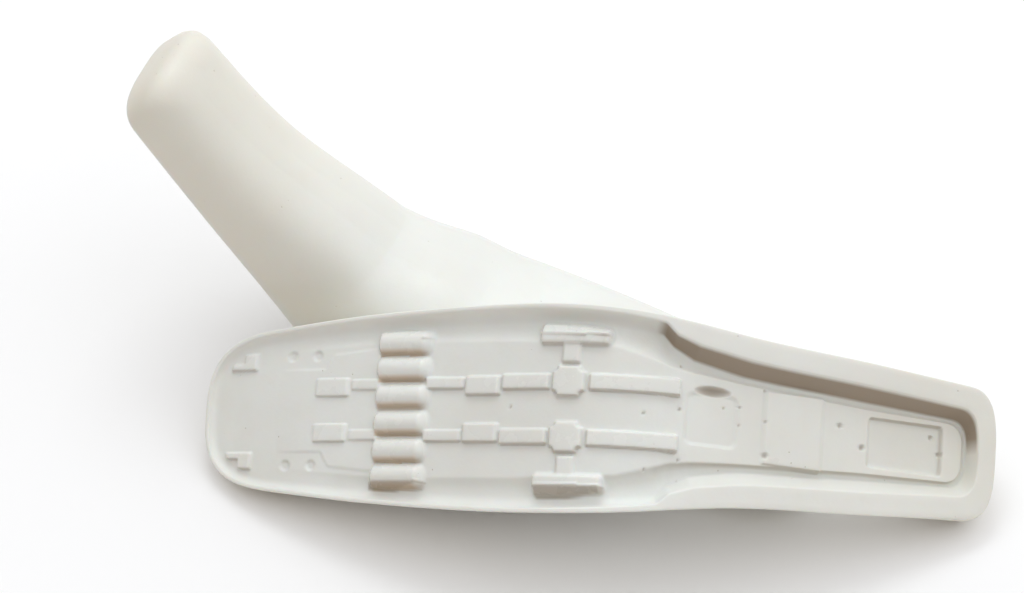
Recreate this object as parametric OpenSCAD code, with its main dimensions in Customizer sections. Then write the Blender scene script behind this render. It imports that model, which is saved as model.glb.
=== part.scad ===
// A pair of moulded motocross seat foams, both cast in the same mould.
// One stands upright on its rim. The other lies upside down across its tail, leaning
// on it, so that its underside, with the imprint of the seat base, can be seen.
//
// Each foam is drawn along a bent spine, the line of its rim seen from the side.
// u runs along the spine from tail to nose, v across, and w into the foam, so w = 0 is
// the rim that the foam stands on, and the riding surface lies at the largest w.

/* [Foam] */
// Length along the rim, from tail to nose
foam_len = 645; // [620:5:660]
// Length of the tail that sweeps up
sweep_len = 180; // [150:10:200]
// Angle of the tail's upward sweep
sweep_angle = 8; // [5:1:10]
// Where the bend towards the tank starts
bend_start = 275; // [265:5:285]
// Where the bend towards the tank ends
bend_end = 430; // [420:5:440]
// Angle of the bend towards the tank
bend_angle = 49; // [44:1:50]

/* [Outline] */
// Plan radius of the tail's corners
tail_round = 60; // [50:5:70]
// Plan radius of the nose's corners
nose_round = 26; // [22:2:32]
// How far the tail's end face leans in
tail_lean = 16; // [8:2:20]
// How far the nose's end face leans out
nose_lean = 3; // [0:1:6]
// Length over which flank and riding surface blend
shoulder = 26; // [20:2:28]
// Outward bulge of the flanks
flank_bulge = 3; // [0:1:5]
// Crown of the riding surface
crown = 4; // [2:1:6]

/* [Underside] */
// Radius of the six rollers
roller_r = 9.5; // [8:0.5:9.5]
// Distance between neighbouring rollers
roller_pitch = 20; // [20:0.5:21]
// Where the rollers start
roller_u = 147; // [140:1:150]
// Length of the rollers
roller_len = 42; // [36:1:44]
// Height of the rail blocks above the dish
rail_h = 4; // [2:0.5:5]
// Height of the tank pad above the panel around it
tank_pad_h = 2; // [1:0.5:3]
// Depth of the rectangular pocket near the nose
pocket_depth = 4; // [2:0.5:6]
// Diameter of the round dimples near the tail
dimple_d = 8; // [6:1:10]

/* [Placing] */
// Turn of the upright foam about the vertical
upright_yaw = 159; // [158:0.5:160]
// Turn of the leaning foam about the vertical
leaning_yaw = -17.3; // [-18:0.1:-17]
// Slope of the leaning foam along its length
leaning_pitch = -18.3; // [-18.5:0.1:-18]
// Roll of the leaning foam past upside down
leaning_roll = 35.6; // [35:0.1:36]

/* [Hidden] */

foam_colour = [0.93, 0.92, 0.88];
upright_pos = [203.5, -54, 0];
leaning_pos = [-272.5, -33.5, 41.62];

// Shape along the length: distance from the tail, half width of the rim,
// half width of the riding surface, and thickness
shape = [
    [0, 52, 41, 36],
    [60, 61, 50, 45],
    [150, 71, 53, 69],
    [260, 77, 51, 90],
    [340, 75, 51, 95],
    [440, 63, 44, 73],
    [540, 56.5, 40, 44],
    [645, 48, 42, 41]
];

// Underside along the length: distance from the tail, width of the rim band, run and
// depth of the wall inside it, half width and depth of the raised middle
under = [
    [0, 2.5, 6.5, 4.5, 30, 5],
    [60, 2.5, 7, 6.5, 42, 6.5],
    [150, 3, 9, 10, 50, 8],
    [260, 3, 10, 11.5, 50, 8],
    [340, 4, 9, 13, 46, 8],
    [372, 5, 8, 16, 37, 8],
    [381, 12, 8, 17, 34, 9.5],
    [398, 15.5, 10.5, 17.5, 32, 11.5],
    [440, 17, 11.5, 17.5, 29, 13],
    [540, 17, 11, 17, 23.5, 13],
    [645, 17, 8, 15, 21, 12]
];
nose_band = 15;
// How far the sides of a block run out over its full height
draft = 1.5;
slope_part = 0.35; // how far out the underside's hollow curve is given, as a part
slope_drop = 0.67; // and how much of its drop it has made by there

// Corners are superellipses of this power
corner_power = 3;
corner_steps = 7;
// Points along a side, with a few more where the rim band widens
side_at = [
    for (i = [1 : 9]) i * 0.057,
    0.545, 0.572, 0.586, 0.6, 0.63, 0.67,
    for (i = [1 : 6]) 0.67 + i * 0.055
];

// ---- interpolation ----
function last(list) = list[len(list) - 1];
function row_before(table, u, i = 0) =
    i >= len(table) - 2 || table[i + 1][0] > u ? i : row_before(table, u, i + 1);
function straight_at(table, column, u) =
    let (x = min(max(u, 0), foam_len), i = row_before(table, x), a = table[i], b = table[i + 1])
    a[column] + (b[column] - a[column]) * (x - a[0]) / (b[0] - a[0]);
function slope_at(table, column, i) =
    let (a = table[max(i - 1, 0)], b = table[min(i + 1, len(table) - 1)])
    (b[column] - a[column]) / (b[0] - a[0]);
// A smooth curve through the rows of a table
function smooth_at(table, column, u) =
    let (
        x = min(max(u, 0), foam_len),
        i = row_before(table, x),
        a = table[i],
        b = table[i + 1],
        h = b[0] - a[0],
        t = (x - a[0]) / h
    )
    (2 * t ^ 3 - 3 * t ^ 2 + 1) * a[column]
    + (t ^ 3 - 2 * t ^ 2 + t) * h * slope_at(table, column, i)
    + (3 * t ^ 2 - 2 * t ^ 3) * b[column]
    + (t ^ 3 - t ^ 2) * h * slope_at(table, column, i + 1);
function blend(a, corner, b, s) = (1 - s) ^ 2 * a + 2 * s * (1 - s) * corner + s ^ 2 * b;

// ---- spine ----
sweep_r = sweep_len / (sweep_angle * PI / 180);
bend_r = (bend_end - bend_start) / (bend_angle * PI / 180);
function spine_angle(u) =
    u < sweep_len ? -sweep_angle * (1 - u / sweep_len)
    : u < bend_start ? 0
    : min(u - bend_start, bend_end - bend_start) / (bend_end - bend_start) * bend_angle;
// Point of the spine, as [along, up]
function spine(u) =
    let (a = spine_angle(u))
    u < sweep_len ? [sweep_len + sweep_r * sin(a), sweep_r * (1 - cos(a))]
    : u < bend_start ? [u, 0]
    : [bend_start + bend_r * sin(a), bend_r * (1 - cos(a))]
      + max(u - bend_end, 0) * [cos(a), sin(a)];
// Place in the foam's own frame of a point given along the spine
function bent(u, v, w) =
    let (p = spine(u), a = spine_angle(u)) [p[0] - w * sin(a), v, p[1] + w * cos(a)];

// ---- contour rings ----
// Half an outline from tail to nose, as [u, part of the full half width]
function half_outline(tail_in, nose_in, tail_r, nose_r) =
    let (u0 = tail_in, u1 = foam_len - nose_in, e = 2 / corner_power)
    [
        for (i = [0 : corner_steps])
            let (a = 90 * i / corner_steps) [u0 + tail_r * (1 - cos(a) ^ e), sin(a) ^ e],
        for (s = side_at) [u0 + tail_r + s * (u1 - u0 - tail_r - nose_r), 1],
        for (i = [corner_steps : -1 : 0])
            let (a = 90 * i / corner_steps) [u1 - nose_r * (1 - cos(a) ^ e), sin(a) ^ e]
    ];
// A closed ring from half an outline and its [v, w] at each point
function ring(outline, section) =
    let (n = len(outline))
    [
        for (i = [0 : n - 1])
            bent(outline[i][0], section[i][0] * outline[i][1], section[i][1]),
        for (i = [n - 2 : -1 : 1])
            bent(outline[i][0], -section[i][0] * outline[i][1], section[i][1])
    ];

// Section of the outside at u. part is 0 on the flank, 1 on the shoulder and 2 on the
// riding surface, and s runs from 0 to 1 along each
function outside_section(u, part, s) =
    let (
        b = smooth_at(shape, 1, u),
        a = smooth_at(shape, 2, u),
        t = smooth_at(shape, 3, u),
        r = min(shoulder, 0.55 * t),
        reach = 1 - r / norm([b - a, t]),
        q = (part == 0 ? s : 1) * reach,
        flank = [b + (a - b) * q + flank_bulge * sin(180 * q), t * q],
        inner = [a - r, t]
    )
    part == 0 ? flank
    : part == 1 ? blend(flank, [a, t], inner, s)
    : [inner[0] * (1 - s), t + crown * (1 - (1 - s) ^ 2)];
// How far an outside ring lies in from an end, for a face that leans by lean
function end_inset(lean, t, part, s) =
    let (r = 0.5 * t, reach = 1 - r / norm([lean, t]))
    part == 0 ? lean * s * reach
    : part == 1 ? blend(lean * reach, lean, lean + r, s)
    : lean + r + shoulder * s;
function outside_ring(part, s) =
    let (
        outline = half_outline(
            end_inset(tail_lean, shape[0][3], part, s),
            end_inset(-nose_lean, last(shape)[3], part, s), tail_round, nose_round)
    )
    ring(outline, [for (p = outline) outside_section(p[0], part, s)]);

// Rings of the underside, from the inner edge of the rim to the raised middle
function rim_edge_ring() =
    let (outline = half_outline(2.5, nose_band, tail_round - 3, nose_round - 8))
    ring(outline, [
        for (p = outline) [smooth_at(shape, 1, p[0]) - straight_at(under, 1, p[0]), 0]
    ]);
function wall_foot_ring() =
    let (outline = half_outline(9, nose_band + 3, tail_round - 8, nose_round - 10))
    ring(outline, [
        for (p = outline)
            [smooth_at(shape, 1, p[0]) - straight_at(under, 1, p[0]) - straight_at(under, 2, p[0]),
             straight_at(under, 3, p[0])]
    ]);
function middle_ring(part) =
    let (outline = half_outline(24, nose_band + 8, 30, 14))
    ring(outline, [
        for (p = outline) [straight_at(under, 4, p[0]) * part, straight_at(under, 5, p[0])]
    ]);
function slope_ring() =
    let (outline = half_outline(18.7, nose_band + 6.2, 28, 13))
    ring(outline, [
        for (p = outline)
            let (half = straight_at(under, 4, p[0]), high = straight_at(under, 5, p[0]))
            let (wall = smooth_at(shape, 1, p[0]) - straight_at(under, 1, p[0])
                - straight_at(under, 2, p[0]))
            [half + slope_part * (wall - half),
             high + slope_drop * (straight_at(under, 3, p[0]) - high)]
    ]);

// ---- foam casting ----
rings = [
    middle_ring(0.4),
    middle_ring(1),
    slope_ring(),
    wall_foot_ring(),
    rim_edge_ring(),
    for (s = [0 : 0.25 : 1]) outside_ring(0, s),
    for (s = [0.2 : 0.2 : 1]) outside_ring(1, s),
    for (s = [0.3, 0.6, 0.85]) outside_ring(2, s)
];
ring_size = len(rings[0]);
// Side of each ring from tail to nose, and the same points on the far side
function across(i) = (ring_size - i) % ring_size;
function cap(first, flip) = [
    for (i = [0 : ring_size / 2 - 1])
        let (q = [i, i + 1, across(i + 1), across(i)])
        for (t = [[q[0], q[1], q[2]], [q[0], q[2], q[3]]])
            if (t[0] != t[1] && t[1] != t[2] && t[0] != t[2])
                [for (k = flip ? [2, 1, 0] : [0, 1, 2]) first + t[k]]
];
module casting() {
    between = [
        for (r = [0 : len(rings) - 2], i = [0 : ring_size - 1])
            let (
                a = r * ring_size + i,
                b = r * ring_size + (i + 1) % ring_size,
                c = b + ring_size,
                d = a + ring_size
            )
            each [[a, b, c], [a, c, d]]
    ];
    polyhedron(
        points = [for (r = rings) each r],
        faces = concat(between, cap(0, true), cap((len(rings) - 1) * ring_size, false))
    );
}

// ---- relief of the underside ----
// Puts children at u and v on the underside, with their z into the foam
module at(u, v = 0) {
    p = spine(u);
    translate([p[0], v, p[1]]) rotate([0, -spine_angle(u), 0]) children();
}
module both_sides() {
    children();
    mirror([0, 1, 0]) children();
}
// A raised block between two stations. It follows the bend and widens into the foam, so
// that it would leave a mould. top is its face, and sink how far it reaches below it.
module block(u0, u1, v0, v1, top, sink = 8) {
    n = ceil((u1 - u0) / 30);
    points = [
        for (i = [0 : n])
            let (u = u0 + (u1 - u0) * i / n, end = i == 0 ? -draft : i == n ? draft : 0)
            each [
                bent(u, v0, top),
                bent(u, v1, top),
                bent(u + end, v1 + draft, top + sink),
                bent(u + end, v0 - draft, top + sink)
            ]
    ];
    polyhedron(
        points = points,
        faces = concat(
            [[0, 1, 2, 3], [for (k = [3 : -1 : 0]) 4 * n + k]],
            [
                for (i = [0 : n - 1], k = [0 : 3])
                    let (a = 4 * i + k, b = 4 * i + (k + 1) % 4)
                    each [[a, b + 4, b], [a, a + 4, b + 4]]
            ]
        )
    );
}

dish_depth = 8;
rail_top = dish_depth - rail_h;
roller_depth = roller_r + 1;

module rollers() {
    for (i = [0 : 5])
        at(roller_u, (i - 2.5) * roller_pitch)
            translate([0, 0, roller_depth])
                rotate([0, 90, 0]) cylinder(h = roller_len, r = roller_r, $fn = 32);
    at(roller_u)
        translate([0, -2.9 * roller_pitch, roller_depth - 2])
            cube([roller_len, 5.8 * roller_pitch, 6]);
}
// Rail of separate blocks on each side of the middle
module rail() {
    block(94, 122, 10, 24, rail_top);
    block(124, 149, 14, 24, rail_top + 1);
    block(186, 217, 14.5, 24, rail_top + 1);
    block(218.5, 246, 10.5, 24.5, rail_top);
    block(248, 286, 14.5, 26, rail_top);
    block(291, 311, 9.5, 31.5, rail_top);
    block(288.5, 313.5, 13, 28, rail_top);
    block(317, 386, 14.5, 26.5, rail_top);
}
// T-shaped boss near each long edge
module tee_boss() {
    block(294, 309, 33, 50, rail_top + 1);
    block(278, 330, 48, 58, 3, 12);
}
module tail_boss() {
    block(29, 42, 31, 43, 2.5);
    block(18, 34, 31, 37, 2.5);
}
module tank_pad() {
    block(458, 506, -25, 25, under[8][5] - tank_pad_h, 6);
}
module nose_pocket() {
    at(575, 0)
        translate([-30, -18, 0]) cube([60, 36, under[9][5] + pocket_depth]);
}
module dimples() {
    for (u = [71, 93], v = [-41, 41])
        at(u, v) cylinder(h = dish_depth + 1.5, d = dimple_d, $fn = 32);
}

// One foam in its own frame, standing on its rim
module seat_foam() {
    difference() {
        union() {
            casting();
            rollers();
            both_sides() {
                rail();
                tee_boss();
                tail_boss();
            }
            tank_pad();
        }
        nose_pocket();
        dimples();
    }
}

module upright_foam() {
    color(foam_colour)
        translate(upright_pos) rotate([0, 0, upright_yaw]) seat_foam();
}

module leaning_foam() {
    color(foam_colour)
        translate(leaning_pos)
            rotate([180 + leaning_roll, leaning_pitch, leaning_yaw]) seat_foam();
}

upright_foam();
leaning_foam();
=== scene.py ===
"""Looks of a pair of moulded seat foams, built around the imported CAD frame.

Each foam is one closed mesh. It is drawn along a bent spine in millimetres: u runs along
the rim from tail to nose, v across, and w into the foam, with w = 0 at the rim.
"""

import math

import bpy
import numpy as np
from mathutils import Euler, Matrix, Vector


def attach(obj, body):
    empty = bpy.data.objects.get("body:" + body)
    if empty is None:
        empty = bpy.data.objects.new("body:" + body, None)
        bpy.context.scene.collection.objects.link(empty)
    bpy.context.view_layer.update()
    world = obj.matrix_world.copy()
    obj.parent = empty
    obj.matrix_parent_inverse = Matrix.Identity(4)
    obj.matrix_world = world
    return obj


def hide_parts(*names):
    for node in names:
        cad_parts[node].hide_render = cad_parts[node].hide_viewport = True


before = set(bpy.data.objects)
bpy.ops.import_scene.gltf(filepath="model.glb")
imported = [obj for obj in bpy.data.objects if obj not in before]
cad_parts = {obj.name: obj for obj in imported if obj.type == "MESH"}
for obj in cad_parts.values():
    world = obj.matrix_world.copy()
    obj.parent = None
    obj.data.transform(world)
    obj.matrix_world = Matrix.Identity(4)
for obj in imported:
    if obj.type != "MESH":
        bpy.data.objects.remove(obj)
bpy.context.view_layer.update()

MM = 0.001
LENGTH = 645.0
SWEEP_LEN, SWEEP = 180.0, math.radians(8)
BEND_START, BEND_END, BEND = 275.0, 430.0, math.radians(49)
TAIL_ROUND, NOSE_ROUND = 60.0, 26.0
TAIL_LEAN, NOSE_LEAN = 16.0, 3.0
SHOULDER, BULGE, CROWN = 26.0, 3.0, 4.0
CORNER = 3.0  # power of the superellipse corners

# distance from the tail, half width of the rim, of the riding surface, and thickness
SHAPE = np.array([
    (0, 52, 41, 36), (60, 61, 50, 45), (150, 71, 53, 69), (260, 77, 51, 90),
    (340, 75, 51, 95), (440, 63, 44, 73), (540, 56.5, 40, 44), (645, 48, 42, 41),
], float)
# distance from the tail, width of the rim band, run and depth of the wall inside it,
# half width and depth of the raised middle
UNDER = np.array([
    (0, 2.5, 6.5, 4.5, 30, 5), (60, 2.5, 7, 6.5, 42, 6.5), (150, 3, 9, 10, 50, 8),
    (260, 3, 10, 11.5, 50, 8), (340, 4, 9, 13, 46, 8), (372, 5, 8, 16, 37, 8),
    (381, 12, 8, 17, 34, 9.5), (398, 15.5, 10.5, 17.5, 32, 11.5),
    (440, 17, 11.5, 17.5, 29, 13), (540, 17, 11, 17, 23.5, 13), (645, 17, 8, 15, 21, 12),
], float)
NOSE_BAND = 15.0
# how far inside the tail and the nose these begin: the wall, its foot, the raised middle
WALL_IN, FOOT_IN, MIDDLE_IN = (2.5, NOSE_BAND), (9, NOSE_BAND + 3), (24.0, NOSE_BAND + 8)
MIDDLE_TURN = 13.0  # radius of the raised middle's corners


# ---- curves along the length ----
def straight(table, column, u):
    return np.interp(u, table[:, 0], table[:, column])


def smooth(table, column, u):
    """A smooth curve through the rows of a table."""
    x, y = table[:, 0], table[:, column]
    slope = np.gradient(y, x, edge_order=1)
    slope[1:-1] = (y[2:] - y[:-2]) / (x[2:] - x[:-2])
    u = np.clip(u, x[0], x[-1])
    i = np.clip(np.searchsorted(x, u, side="right") - 1, 0, len(x) - 2)
    h = x[i + 1] - x[i]
    t = (u - x[i]) / h
    return (
        (2 * t**3 - 3 * t**2 + 1) * y[i]
        + (t**3 - 2 * t**2 + t) * h * slope[i]
        + (3 * t**2 - 2 * t**3) * y[i + 1]
        + (t**3 - t**2) * h * slope[i + 1]
    )


def bent(u, v, w):
    """Points in the foam's own frame, in millimetres."""
    sweep_r = SWEEP_LEN / SWEEP
    bend_r = (BEND_END - BEND_START) / BEND
    a = np.where(
        u < SWEEP_LEN,
        -SWEEP * (1 - u / SWEEP_LEN),
        np.clip((u - BEND_START) / (BEND_END - BEND_START), 0, 1) * BEND,
    )
    over = np.maximum(u - BEND_END, 0)
    x = np.where(
        u < SWEEP_LEN,
        SWEEP_LEN + sweep_r * np.sin(a),
        np.where(u < BEND_START, u, BEND_START + bend_r * np.sin(a) + over * np.cos(a)),
    )
    z = np.where(u < SWEEP_LEN, sweep_r, bend_r) * (1 - np.cos(a)) + over * np.sin(a)
    return np.stack([x - w * np.sin(a), v + 0 * a, z + w * np.cos(a)], -1)


# ---- lines of the mesh ----
# The mesh lines that cross the foam stand closer where the imprint is finer
SPACING = [
    (61, 1.5), (90, 1.5), (95, 1.2), (138, 1.2), (142, 0.8), (152, 0.8), (156, 1.5),
    (180, 1.5), (184, 1.2), (252, 1.2), (420, 1.3), (450, 1.6), (540, 1.6), (546, 1.1),
    (612, 1.1),
]
# and the lines along it stand closer between the rails' edges, here at the widest place
ACROSS = [(0, 1.7), (7, 1.7), (9, 0.8), (32, 0.8), (35, 1.2), (60, 1.2), (64, 1.2)]
TAIL_CORNER, NOSE_CORNER = 36, 13
CORNER_SHARE = math.sin(math.radians(45)) ** (2 / CORNER)


def stations(table):
    """Parts of a length, from 0 to 1, stepped as the table of places and steps says."""
    place, step = np.array(table, float).T
    found = [place[0]]
    while found[-1] < place[-1]:
        found.append(found[-1] + float(np.interp(found[-1], place, step)))
    found = np.array(found)
    return (found - found[0]) / (found[-1] - found[0])


SIDE = stations(SPACING)
HALF_SHARE = stations(ACROSS)
HALF_ACROSS = len(HALF_SHARE) - 1


def corner(y):
    return (1 - np.abs(y) ** CORNER) ** (1 / CORNER)


def half_line():
    """Kind, place along its part and share of the half width, from tail to nose."""
    end = HALF_SHARE * CORNER_SHARE
    rows = [("tail", corner(y), y) for y in end]
    x = np.linspace(CORNER_SHARE, 0, TAIL_CORNER + 1)[1:-1]
    rows += [("tail", a, corner(a)) for a in x]
    rows += [("side", s, 1.0) for s in SIDE]
    x = np.linspace(0, CORNER_SHARE, NOSE_CORNER + 1)[1:-1]
    rows += [("nose", a, corner(a)) for a in x]
    rows += [("nose", corner(y), y) for y in end[::-1]]
    return rows


HALF = half_line()
IS_TAIL = np.array([r[0] == "tail" for r in HALF])
IS_NOSE = np.array([r[0] == "nose" for r in HALF])
PARAM = np.array([r[1] for r in HALF])
WIDE = np.array([r[2] for r in HALF])
N_HALF = len(HALF)
N_RING = 2 * N_HALF - 2


def outline(tail_in, nose_in, tail_r, nose_r):
    """u along half a ring."""
    u0, u1 = tail_in, LENGTH - nose_in
    side = u0 + tail_r + PARAM * (u1 - u0 - tail_r - nose_r)
    return np.where(
        IS_TAIL,
        u0 + tail_r * (1 - PARAM),
        np.where(IS_NOSE, u1 - nose_r * (1 - PARAM), side),
    )


def blend(a, middle, b, s):
    return (1 - s) ** 2 * a + 2 * s * (1 - s) * middle + s**2 * b


def outside(part, s):
    """Half a ring of the outside as u, v, w. part is flank, shoulder or top."""

    def inset(lean, thick):
        r = 0.5 * thick
        reach = 1 - r / math.hypot(lean, thick)
        if part == "flank":
            return lean * s * reach
        if part == "shoulder":
            return blend(lean * reach, lean, lean + r, s)
        return lean + r + SHOULDER * s

    u = outline(
        inset(TAIL_LEAN, SHAPE[0, 3]), inset(-NOSE_LEAN, SHAPE[-1, 3]),
        TAIL_ROUND, NOSE_ROUND,
    )
    b, a, t = (smooth(SHAPE, k, u) for k in (1, 2, 3))
    r = np.minimum(SHOULDER, 0.55 * t)
    reach = 1 - r / np.hypot(b - a, t)
    q = (s if part == "flank" else 1.0) * reach
    v = b + (a - b) * q + BULGE * np.sin(np.pi * q)
    w = t * q
    # the crown is one arch over the whole top, and the shoulder runs into it
    rise = CROWN * (1 - ((a - r) / a) ** 2)
    if part == "shoulder":
        v, w = blend(v, a, a - r, s), blend(w, t - 0.5 * rise, t + 0.5 * rise, s)
    elif part == "top":
        v = (a - r) * (1 - s)
        w = t - 0.5 * rise + CROWN * (1 - (v / a) ** 2) + 0.5 * rise * s**2
    return np.stack([u, v * WIDE, w], -1)


def rim_edge():
    u = outline(*WALL_IN, TAIL_ROUND - 3, NOSE_ROUND - 8)
    v = (smooth(SHAPE, 1, u) - straight(UNDER, 1, u)) * WIDE
    return np.stack([u, v, 0 * u], -1)


def wall_foot():
    u = outline(*FOOT_IN, TAIL_ROUND - 8, NOSE_ROUND - 10)
    v = smooth(SHAPE, 1, u) - straight(UNDER, 1, u) - straight(UNDER, 2, u)
    return np.stack([u, v * WIDE, straight(UNDER, 3, u)], -1)


# ---- the imprint of the seat base ----
def soft(d, e):
    """max(d, 0) with its corner rounded over about e."""
    return 0.5 * (d + np.sqrt(d * d + e * e))


def lower(a, b, k):
    """The smaller of two depths, with a fillet of about k where they meet."""
    h = np.clip(0.5 + 0.5 * (b - a) / k, 0, 1)
    return b + (a - b) * h - k * h * (1 - h)


def deeper(a, b, k):
    return -lower(-a, -b, k)


def box_distance(u, v, u0, u1, v0, v1, r):
    """Distance outside a rectangle with corners of radius r, and less than 0 inside."""
    du = np.abs(u - (u0 + u1) / 2) - (u1 - u0) / 2 + r
    dv = np.abs(v - (v0 + v1) / 2) - (v1 - v0) / 2 + r
    outer = np.hypot(np.maximum(du, 0), np.maximum(dv, 0))
    return outer + np.minimum(np.maximum(du, dv), 0) - r


def pad(w, d, top, slope=3.5, edge=0.4, foot=0.6):
    """Raises a block whose face is at depth top, where d is the distance outside it."""
    return lower(w, top + slope * soft(d + 0.5, edge), foot)


def pit(w, u, v, at_u, at_v, radius, depth):
    d = np.hypot(u - at_u, v - at_v) / radius
    return w + depth * np.clip(1 - d**2, 0, 1) ** 0.6


def middle_distance(u, v):
    """How far outside the raised middle a point lies, along its own section."""
    half = straight(UNDER, 4, u)
    tail, nose = MIDDLE_IN[0], LENGTH - MIDDLE_IN[1]
    across = v - half + MIDDLE_TURN
    along = np.maximum(tail - u, u - nose) + MIDDLE_TURN
    both = np.hypot(np.maximum(across, 0), np.maximum(along, 0))
    return both + np.minimum(np.maximum(across, along), 0) - MIDDLE_TURN


def floor_depth(u, v, from_wall):
    """Depth of the underside without its relief. from_wall is the distance to the wall."""
    out = np.maximum(middle_distance(u, v), 0)
    t = np.clip(out / np.maximum(out + from_wall, 1e-6), 0, 1)
    t = np.where(t < 0.1, t * t / 0.2, t - 0.05) / 0.95
    t = 1 - (1 - t) ** 2.6
    deep, high = straight(UNDER, 3, u), straight(UNDER, 5, u)
    return high + (deep - high) * t


RAIL = [  # u0, u1, v0, v1, depth of the face
    (94, 122, 10, 24, 4.0), (124, 149, 14.5, 23, 5.0), (186, 217, 15, 24, 5.0),
    (218.5, 246, 10.5, 24.5, 4.0), (248, 286, 14.5, 26, 4.2), (317, 386, 14.5, 26.5, 4.0),
]
# the other rectangles, as u0, u1, v0, v1
NOTCHED_PAD = (288.5, 313.5, 9.5, 31.5)
NOTCH_R = 4.2
TEE_STEM = (295, 309, 34, 50)
TEE_BAR = (278, 330, 48.5, 57.5)
TAIL_BOSS = ((30, 41, 31, 43.5), (19, 32, 31, 36))
DISH = (391, 437, -20, 20)
TANK_PAD = (457, 505.5, -27, 27)
POCKET = (545, 604.5, -17.5, 17.5)
ROLLER_AT = (10.0, 30.3, 49.6)
ROLLER_R, ROLLER_TOP = 9.7, 0.9
ROLLER_START, ROLLER_RUN_OUT = 148, 182
DIMPLE_U, DIMPLE_V, DIMPLE_R = (71, 93), 41, 4.2
LENS_U, LENS_V, LENS_HALF_LENGTH, LENS_HALF_WIDTH = 414, -21, 16, 4
NOWHERE = 60  # a depth below every part of the floor, which leaves it as it is


def lens(u, side):
    """1 in the middle of the lens-shaped hollow beside the dish, and 0 from its edge on."""
    along, across = (u - LENS_U) / LENS_HALF_LENGTH, (side - LENS_V) / LENS_HALF_WIDTH
    return np.clip(1 - along**2 - across**2, 0, 1)


def tee_reach(u):
    """How far the tee's outer flank runs out, most at its tail end."""
    return np.interp(u, TEE_BAR[:2], [14, 4])


def roller_reach(u):
    """How far the last roller's outer flank runs out, most at its tail end."""
    return np.clip(14 - 0.3 * (u - 144), 2.5, 14)


def roller_ends(u, depth):
    """depth, sunk at the rollers' steep tail end and where they run out to the nose."""
    run_out = np.maximum(u - ROLLER_RUN_OUT, 0) / 9
    return depth + 9 * run_out**2 + 1.7 * soft(ROLLER_START - u, 0.7)


def relief(u, side, w):
    """The floor's depth w with everything that stands on it. side is v with its sign."""
    v = np.abs(side)
    # steps between the flat panels of the tail
    line = np.interp(u, [60, 64, 101, 108, 146, 148], [0, 31, 31, 42, 46, 46])
    w = w - 0.9 * np.clip((line - v) / 1.4 + 0.5, 0, 1) * np.clip((u - 60) / 22, 0, 1) * (
        np.clip((147 - u) / 2, 0, 1)
    )
    # rails
    for u0, u1, v0, v1, top in RAIL:
        w = pad(w, box_distance(u, v, u0, u1, v0, v1, 1.6), top)
    # square pad with notched corners, and the tee beside it
    d = box_distance(u, v, *NOTCHED_PAD, 1.5)
    for cu in NOTCHED_PAD[:2]:
        for cv in NOTCHED_PAD[2:]:
            d = np.maximum(d, NOTCH_R - np.hypot(u - cu, v - cv))
    w = pad(w, d, 3.6)
    w = pad(w, box_distance(u, v, *TEE_STEM, 1.5), 5.0)
    w = pad(w, box_distance(u, v, *TEE_BAR, 2.0), 3.0, slope=2.0)
    middle = (TEE_BAR[0] + TEE_BAR[1]) / 2
    flank = 3.0 + 9 * (v - 57.0) / tee_reach(u) + 3.0 * soft(np.abs(u - middle) - 25.5, 0.5)
    w = lower(w, np.where(v > 55, flank, NOWHERE), 0.8)
    # corner bosses at the tail, each of two bars
    d = np.minimum(*(box_distance(u, v, *bar, 0.8) for bar in TAIL_BOSS))
    w = np.maximum(w - 2.8 * np.clip(0.5 - d / 1.5, 0, 1), 0.4)
    # rollers, steep towards the tail and running out towards the nose
    for at in ROLLER_AT:
        y = np.clip(np.abs(v - at) / ROLLER_R, 0, 1)
        barrel = ROLLER_R + ROLLER_TOP - ROLLER_R * np.sqrt(1 - y**2 + 1e-6)
        barrel = roller_ends(u, barrel)
        barrel = np.where(np.abs(v - at) < ROLLER_R + 0.6, barrel, NOWHERE)
        w = lower(w, barrel, 1.2)
    # the last roller's outer flank, broad at the tail end
    flank = roller_ends(u, 2.4 + 7.5 * (v - 54) / roller_reach(u))
    w = lower(w, np.where(v > 53, flank, NOWHERE), 0.8)
    # shallow dish, the hollow beside it, and the pad of the tank panel
    dish = box_distance(u, v, *DISH, 7)
    w = w + 1.6 * np.clip(-dish / 3.0, 0, 1)
    w = w + 4.5 * lens(u, side)
    w = pad(w, box_distance(u, v, *TANK_PAD, 1.5), 11.0, slope=2.6)
    # rectangular pocket
    hole = box_distance(u, v, *POCKET, 1.5)
    w = deeper(w, 16.8 - 2.6 * soft(hole, 0.9), 1.0)
    # round dimples
    for at in DIMPLE_U:
        d = np.hypot(u - at, v - DIMPLE_V)
        w = w + 1.5 * np.clip((DIMPLE_R - d) / 1.2, 0, 1)
    return w


PITS = [  # u, v, radius, depth
    (520, -9, 2.8, 2.0), (539, 5, 3.2, 2.4), (605, 2, 2.6, 2.2), (598, -10, 2.4, 2.0),
    (255, -2, 1.6, 1.6), (359, 0, 2.0, 1.8), (387, -5, 2.0, 1.8), (387, -37, 1.8, 1.6),
    (388, 32, 1.8, 1.6), (362, 41, 1.6, 1.4), (390, 47, 1.6, 1.4), (424, -10, 1.5, 1.4),
    (437, -12, 1.6, 1.4), (437, 1, 1.5, 1.4), (457, -27, 1.8, 1.6), (458, -4, 1.6, 1.5),
    (459, 21, 3.0, 2.4),
]


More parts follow.
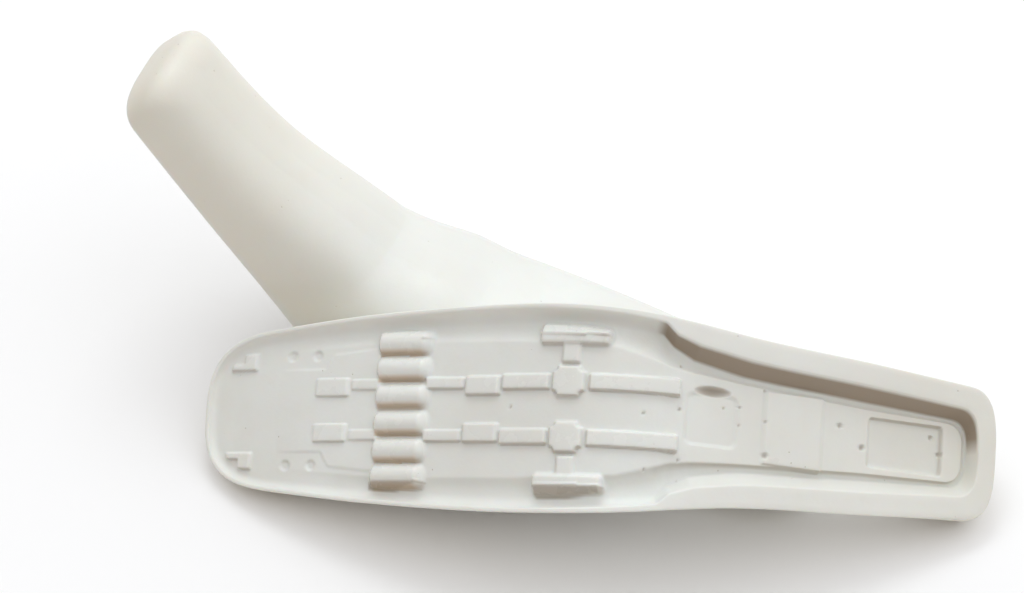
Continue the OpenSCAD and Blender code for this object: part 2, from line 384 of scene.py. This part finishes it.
# ---- marks that the material reads: painted shade ----
# These are colour, not shape: painted shade. Most of them darken what faces one way
# only, where the shade falls.
def roller_fold_shade(u, side):
    """Painted shade: 1 in the folds on one side of every roller."""
    centres = [sign * at for at in ROLLER_AT for sign in (-1, 1)]
    off = np.array([side - c for c in centres])
    off = np.take_along_axis(off, np.abs(off).argmin(0)[None], 0)[0]
    ends = np.clip((u - 146) / 2, 0, 1) * np.clip((187 - u) / 6, 0, 1)
    return np.clip((off - 4) / 3, 0, 1) * np.clip((10.4 - off) / 0.8, 0, 1) * ends


def flanks(u, side):
    """Painted shade, darkest on the outer flanks of the last roller and of the tee, on one
    side.
    """
    roller = np.clip((side - 52.5) / 2, 0, 1)
    roller = roller * np.clip((54 + roller_reach(u) - side) / 2, 0, 1)
    roller = roller * np.clip((u - 142) / 1.5, 0, 1) * np.clip((188 - u) / 5, 0, 1)
    tee = np.clip((side - 55.5) / 1.5, 0, 1)
    tee = tee * np.clip((57 + tee_reach(u) - side) / 2, 0, 1)
    tee = tee * np.clip((u - TEE_BAR[0]) / 1.5, 0, 1) * np.clip((331 - u) / 3, 0, 1)
    return 0.72 * np.maximum(roller, tee)


def floor_shade(u, side, w, inner):
    """How dark the painted shade on the floor is: most on flanks, slopes that face one
    side or the tail, in the lens-shaped hollow and in the pits."""
    side_slope = np.gradient(w, axis=1) / np.gradient(side, axis=1)
    tail_slope = -np.gradient(w, axis=0) / np.gradient(u, axis=0)
    steep = np.maximum(0.55 * side_slope, 0.4 * tail_slope) - 0.3
    dark = np.maximum(flanks(u, side), np.clip(steep, 0, 0.5) * inner)
    dark = np.maximum(dark, 0.8 * np.sqrt(lens(u, side)))
    for at_u, at_v, radius, _ in PITS:
        off = ((u - at_u) ** 2 + (side - at_v) ** 2) / (0.8 * radius) ** 2
        dark = np.maximum(dark, 0.6 * np.clip(1 - off, 0, 1))
    return dark


def wall_shade(u, side, w):
    """Painted shade: dark on one side's wall, from the place where the rim band widens to the
    nose.
    """
    on_side = np.clip(-side / 12, 0, 1) * np.clip((u - 366) / 8, 0, 1)
    return np.where(w > 3, on_side, 0)


# ---- the foam as one mesh ----
def full_ring(half):
    mirror = half[-2:0:-1] * np.array([1, -1, 1])
    return np.concatenate([half, mirror])


def under_rings():
    """Rings from the outer edge of the rim to the wall's foot, without the last one."""
    outer, edge, foot = outside("flank", 0.0), rim_edge(), wall_foot()
    above = outside("flank", 0.25)
    up = (above - outer) / np.linalg.norm(above - outer, axis=1)[:, None]
    band = edge - outer
    width = np.linalg.norm(band, axis=1)[:, None]
    band = band / width
    wall = foot - edge
    height = np.linalg.norm(wall, axis=1)[:, None]
    wall = wall / height
    cove = np.clip((398 - edge[:, 0]) / 30, 0, 1)[:, None]
    round_out = np.minimum(1.4, 0.35 * width)
    round_in = np.minimum(1.1, 0.35 * width)
    rings = []
    for s in (0.0, 0.5):
        rings.append(blend(outer + up * round_out, outer, outer + band * round_out, s))
    first, last = outer + band * round_out, edge - band * round_in
    for s in (0, 0.25, 0.5, 0.75):
        rings.append(first + (last - first) * s)
    start = edge + wall * round_in
    for s in (0, 0.33, 0.67):
        rings.append(blend(last, edge, start, s))
    for s in (0, 0.17, 0.34, 0.51, 0.68, 0.84):
        line = start + (foot - start) * s
        run = start + (foot - start) * (1 - math.cos(s * math.pi / 2))
        fall = start + (foot - start) * math.sin(s * math.pi / 2)
        curved = np.concatenate([run[:, :2], fall[:, 2:]], 1)
        rings.append(line * (1 - cove) + curved * cove)
    return rings, foot


def patch(foot):
    """The underside inside the wall as a grid, [along, across]."""
    k = HALF_ACROSS
    side = foot[k : N_HALF - k]  # the side where v > 0
    tail = np.concatenate([foot[k:0:-1] * (1, -1, 1), foot[: k + 1]])
    nose_half = foot[N_HALF - 1 - k :][::-1]
    nose = np.concatenate([nose_half[k:0:-1] * (1, -1, 1), nose_half])
    t = (side[:, 0] - side[0, 0]) / (side[-1, 0] - side[0, 0])
    s = np.concatenate([-HALF_SHARE[:0:-1], HALF_SHARE])
    u = (
        side[:, 0][:, None]
        + (1 - t)[:, None] * (tail[:, 0] - side[0, 0])[None]
        + t[:, None] * (nose[:, 0] - side[-1, 0])[None]
    )
    v = (
        side[:, 1][:, None] * s[None]
        + (1 - t)[:, None] * (tail[:, 1] - s * side[0, 1])[None]
        + t[:, None] * (nose[:, 1] - s * side[-1, 1])[None]
    )
    return u, v


def distance_to(u, v, line):
    """Distance from every point to a line of points, both given by u and v."""
    best = np.full(u.shape, 1e9)
    for a, b in zip(line[:-1], line[1:]):
        d = b - a
        length = max(float(d @ d), 1e-9)
        q = np.clip(((u - a[0]) * d[0] + (v - a[1]) * d[1]) / length, 0, 1)
        best = np.minimum(best, (u - a[0] - q * d[0]) ** 2 + (v - a[1] - q * d[1]) ** 2)
    return np.sqrt(best)


def outer_rings():
    """Rings from the middle line of the top down to the rim, without the rim's own."""
    rings = [outside("flank", s) for s in (0.2, 0.45, 0.72)]
    rings += [outside("shoulder", s) for s in (0, 0.2, 0.4, 0.6, 0.8, 1)]
    rings += [outside("top", s) for s in (0.2, 0.45, 0.72)]
    return rings[::-1]


def mesh_faces(n_rings, n_u, n_v):
    """Faces between the rings, of the grid inside them, and along the top's middle."""
    number = n_rings * N_RING + np.arange(n_u * n_v).reshape(n_u, n_v)
    # the grid's border in the rings' order: tail middle, far side, nose, near side
    k = HALF_ACROSS
    border = np.concatenate([
        number[0, k:], number[1:, -1], number[-1, -2::-1], number[-2::-1, 0],
        number[0, 1:k],
    ])
    i = np.arange(N_RING)
    j = (i + 1) % N_RING
    quads = []
    for r in range(n_rings - 1):
        a, b = r * N_RING, (r + 1) * N_RING
        quads.append(np.stack([a + i, b + i, b + j, a + j], 1))
    a = (n_rings - 1) * N_RING
    quads.append(np.stack([a + i, border[i], border[j], a + j], 1))
    quads.append(np.stack([
        number[:-1, :-1].ravel(), number[1:, :-1].ravel(),
        number[1:, 1:].ravel(), number[:-1, 1:].ravel(),
    ], 1))
    quads = np.concatenate(quads)[:, ::-1].tolist()
    # each point of the first ring and its mirror point
    far = ((N_RING - np.arange(N_HALF)) % N_RING).tolist()
    cap = [(far[m], far[m + 1], m + 1, m) for m in range(1, N_HALF - 2)]
    ends = [(far[1], 1, 0), (far[N_HALF - 2], N_HALF - 1, N_HALF - 2)]
    return quads + cap + ends


def foam_mesh():
    """Points in millimetres, faces, and each point's attributes."""
    strip, foot = under_rings()
    u, v = patch(foot)
    coarse = np.vstack([foot[:-1:4, :2], foot[-1:, :2]])
    from_wall = distance_to(u, np.abs(v), coarse)
    from_wall[[0, -1], :] = 0
    from_wall[:, [0, -1]] = 0
    base = floor_depth(u, np.abs(v), from_wall)
    w = relief(u, v, base)
    for at_u, at_v, radius, depth in PITS:
        w = pit(w, u, v, at_u, at_v, 0.85 * radius, 0.8 * depth)
    inner = np.clip(from_wall / 2.0, 0, 1)
    w = base + (w - base) * inner

    outer = outer_rings()
    top = np.concatenate([full_ring(r) for r in outer])
    below = np.concatenate([full_ring(r) for r in strip])
    points = np.concatenate([top, below, np.stack([u, v, w], -1).reshape(-1, 3)])

    def mark(on_top, on_below, on_grid):
        return np.concatenate([
            on_top + np.zeros(len(top)), on_below + np.zeros(len(below)), on_grid.ravel(),
        ])

    nothing = 0 * w
    return points, mesh_faces(len(outer) + len(strip), *u.shape), {
        "raised": mark(0, 0, np.clip((base - w) / 3.0, 0, 1)),
        "low": mark(np.clip(1.25 - top[:, 2] / 60, 0, 1), 0, nothing),
        "along": points[:, 0] / LENGTH,
        # painted shade in the folds on one side of every roller
        "fold_shade": mark(0, 0, roller_fold_shade(u, v)),
        # painted shade on flanks, slopes, one side's wall, the lens hollow and the pits
        "shade": mark(0, wall_shade(*below.T), floor_shade(u, v, w, inner)),
    }


points, faces, marks = foam_mesh()
shape = bent(points[:, 0], points[:, 1], points[:, 2]) * MM
print("foam mesh:", len(shape), "points", len(faces), "faces")


# ---- material ----
def foam_material(name, offset):
    m = bpy.data.materials.new(name)
    m.use_nodes = True
    nodes, links = m.node_tree.nodes, m.node_tree.links
    shader = nodes["Principled BSDF"]

    def node(kind, **values):
        n = nodes.new(kind)
        for key, value in values.items():
            setattr(n, key, value)
        return n

    def noise(scale, detail, rough=0.5):
        n = node("ShaderNodeTexNoise")
        n.inputs["Scale"].default_value = scale
        n.inputs["Detail"].default_value = detail
        n.inputs["Roughness"].default_value = rough
        links.new(place.outputs[0], n.inputs["Vector"])
        return n.outputs["Fac"]

    def attribute(label):
        n = node("ShaderNodeAttribute", attribute_name=label)
        return n.outputs["Fac"]

    def span(value, lo, hi, to_lo=0.0, to_hi=1.0):
        n = node("ShaderNodeMapRange")
        links.new(value, n.inputs["Value"])
        for key, x in zip(("From Min", "From Max", "To Min", "To Max"), (lo, hi, to_lo, to_hi)):
            n.inputs[key].default_value = x
        return n.outputs["Result"]

    def maths(kind, a, b):
        n = node("ShaderNodeMath", operation=kind)
        for socket, x in zip(n.inputs, (a, b)):
            if isinstance(x, (int, float)):
                socket.default_value = x
            else:
                links.new(x, socket)
        return n.outputs[0]

    def mix(fac, a, b):
        n = node("ShaderNodeMix", data_type="RGBA", blend_type="MIX")
        for key, x in (("Factor", fac), ("A", a), ("B", b)):
            socket = [s for s in n.inputs if s.name == key and s.enabled][0]
            if isinstance(x, tuple):
                socket.default_value = (*x, 1)
            elif isinstance(x, (int, float)):
                socket.default_value = x
            else:
                links.new(x, socket)
        return [s for s in n.outputs if s.enabled][0]

    coords = node("ShaderNodeTexCoord")
    place = node("ShaderNodeMapping")
    place.inputs["Location"].default_value = offset
    links.new(coords.outputs["Object"], place.inputs["Vector"])

    # creamy white with broad clouds, warmer towards the nose and low on the flanks,
    # with painted shade: yellow-brown in the rollers' folds and darker where the shade marks
    # are
    colour = mix(span(noise(7, 3), 0.35, 0.7), (0.82, 0.84, 0.81), (0.77, 0.775, 0.73))
    colour = mix(span(noise(38, 4, 0.6), 0.5, 0.8, 0, 0.3), colour, (0.74, 0.73, 0.67))
    nose_tint = span(attribute("along"), 0.55, 1.02, 0, 0.35)
    colour = mix(nose_tint, colour, (0.70, 0.665, 0.56))
    colour = mix(maths("MULTIPLY", attribute("low"), 0.5), colour, (0.81, 0.76, 0.64))
    # painted shade: yellow-brown in the rollers' folds
    colour = mix(maths("MULTIPLY", attribute("fold_shade"), 0.75), colour, (0.62, 0.46, 0.30))
    # painted shade: dark brown on flanks, slopes, one side's wall, the lens hollow and the pits
    colour = mix(maths("MULTIPLY", attribute("shade"), 0.95), colour, (0.34, 0.27, 0.20))

    # scattered pinholes of the moulded skin, darkened inside with painted shade
    cells = node("ShaderNodeTexVoronoi")
    cells.inputs["Scale"].default_value = 130
    links.new(place.outputs[0], cells.inputs["Vector"])
    keep = maths("GREATER_THAN", noise(31, 2), 0.6)
    hole = maths("MULTIPLY", span(cells.outputs["Distance"], 0.1, 0.045), keep)
    colour = mix(maths("MULTIPLY", hole, 0.45), colour, (0.42, 0.35, 0.26))
    links.new(colour, shader.inputs["Base Color"])

    # a little glossier on what is raised
    sheen = maths("MULTIPLY", attribute("raised"), 0.22)
    rough = span(noise(55, 4), 0.3, 0.75, 0.4, 0.58)
    links.new(maths("SUBTRACT", rough, sheen), shader.inputs["Roughness"])

    # bumps of broad swells, dents, fine grain and the pinholes
    grain = maths("MULTIPLY", noise(420, 3, 0.6), 0.05)
    dents = maths("MULTIPLY", noise(85, 2), 0.12)
    height = maths("ADD", maths("ADD", noise(14, 2), dents), grain)
    height = maths("SUBTRACT", height, maths("MULTIPLY", hole, 0.25))
    bump = node("ShaderNodeBump")
    bump.inputs["Strength"].default_value = 0.55
    bump.inputs["Distance"].default_value = 0.0028
    links.new(height, bump.inputs["Height"])
    links.new(bump.outputs[0], shader.inputs["Normal"])

    shader.inputs["Subsurface Weight"].default_value = 0.25
    shader.inputs["Subsurface Radius"].default_value = (1.0, 0.55, 0.3)
    shader.inputs["Subsurface Scale"].default_value = 0.006
    shader.inputs["IOR"].default_value = 1.45
    shader.inputs["Coat Weight"].default_value = 0.12
    shader.inputs["Coat Roughness"].default_value = 0.22
    return m


# ---- the two castings ----
PLACES = {
    "upright_foam": ("upright", (203.5, -54, 0), (0, 0, 159), (0.4, 0.1, 0.7)),
    "leaning_foam": (
        "leaning", (-272.5, -33.5, 41.62), (180 + 35.6, -18.3, -17.3), (2.3, 1.7, 0.2),
    ),
}

for cad_node, (body, place, turn, offset) in PLACES.items():
    mesh = bpy.data.meshes.new(cad_node.replace("foam", "casting"))
    mesh.from_pydata(shape.tolist(), [], faces)
    turned = Euler([math.radians(a) for a in turn], "XYZ").to_matrix().to_4x4()
    mesh.transform(Matrix.Translation(Vector(place) * MM) @ turned)
    for label, values in marks.items():
        attribute = mesh.attributes.new(label, "FLOAT", "POINT")
        attribute.data.foreach_set("value", values.astype(np.float32))
    mesh.update()
    mesh.shade_smooth()
    piece = bpy.data.objects.new(mesh.name, mesh)
    bpy.context.scene.collection.objects.link(piece)
    mesh.materials.append(foam_material(mesh.name + "_skin", offset))
    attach(piece, body)
    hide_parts(cad_node)


# ---- stage ----
def plain_material(name, colour, roughness):
    m = bpy.data.materials.new(name)
    m.use_nodes = True
    shader = m.node_tree.nodes["Principled BSDF"]
    shader.inputs["Base Color"].default_value = (*colour, 1)
    shader.inputs["Roughness"].default_value = roughness
    return m


bpy.ops.mesh.primitive_plane_add(size=12, location=(0, 0, -0.0004))
ground = bpy.context.object
ground.name = "ground"
ground.data.materials.append(plain_material("ground_paper", (0.94, 0.94, 0.94), 0.9))


def lamp(name, place, target, size, power, colour):
    data = bpy.data.lights.new(name, "AREA")
    data.shape, data.size, data.energy, data.color = "DISK", size, power, colour
    o = bpy.data.objects.new(name, data)
    bpy.context.scene.collection.objects.link(o)
    o.location = place
    o.rotation_euler = (Vector(target) - Vector(place)).to_track_quat("-Z", "Y").to_euler()


lamp("key", (-0.2, 1.3, 2.6), (0, 0, 0.1), 1.3, 13, (0.93, 0.98, 1.0))

# a sky that is brightest overhead, and dim and warm near the horizon in front
world = bpy.data.worlds.new("studio")
bpy.context.scene.world = world
world.use_nodes = True
sky, sky_links = world.node_tree.nodes, world.node_tree.links
towards = sky.new("ShaderNodeVectorMath")
towards.operation = "DOT_PRODUCT"
towards.inputs[1].default_value = Vector((0.2, 0.2, 0.9)).normalized()
sky_links.new(sky.new("ShaderNodeTexCoord").outputs["Generated"], towards.inputs[0])
ramp = sky.new("ShaderNodeValToRGB")
ramp.color_ramp.interpolation = "EASE"
ramp.color_ramp.elements[0].position = 0.12
ramp.color_ramp.elements[0].color = (0.17, 0.12, 0.08, 1)
ramp.color_ramp.elements[1].position = 0.75
ramp.color_ramp.elements[1].color = (0.97, 0.98, 1.0, 1)
sky_links.new(towards.outputs["Value"], ramp.inputs["Fac"])
sky_links.new(ramp.outputs["Color"], sky["Background"].inputs["Color"])
sky["Background"].inputs["Strength"].default_value = 1.22

camera_data = bpy.data.cameras.new("camera")
camera_data.sensor_width = 36
camera_data.lens = 162.4
camera = bpy.data.objects.new("camera", camera_data)
bpy.context.scene.collection.objects.link(camera)
camera.location = (-0.0367, -2.3758, 2.5884)
camera.rotation_euler = (math.radians(44), 0, 0)
camera_data.clip_end = 30
bpy.context.scene.camera = camera

bpy.context.scene.view_settings.view_transform = "Standard"
bpy.context.scene.view_settings.look = "None"
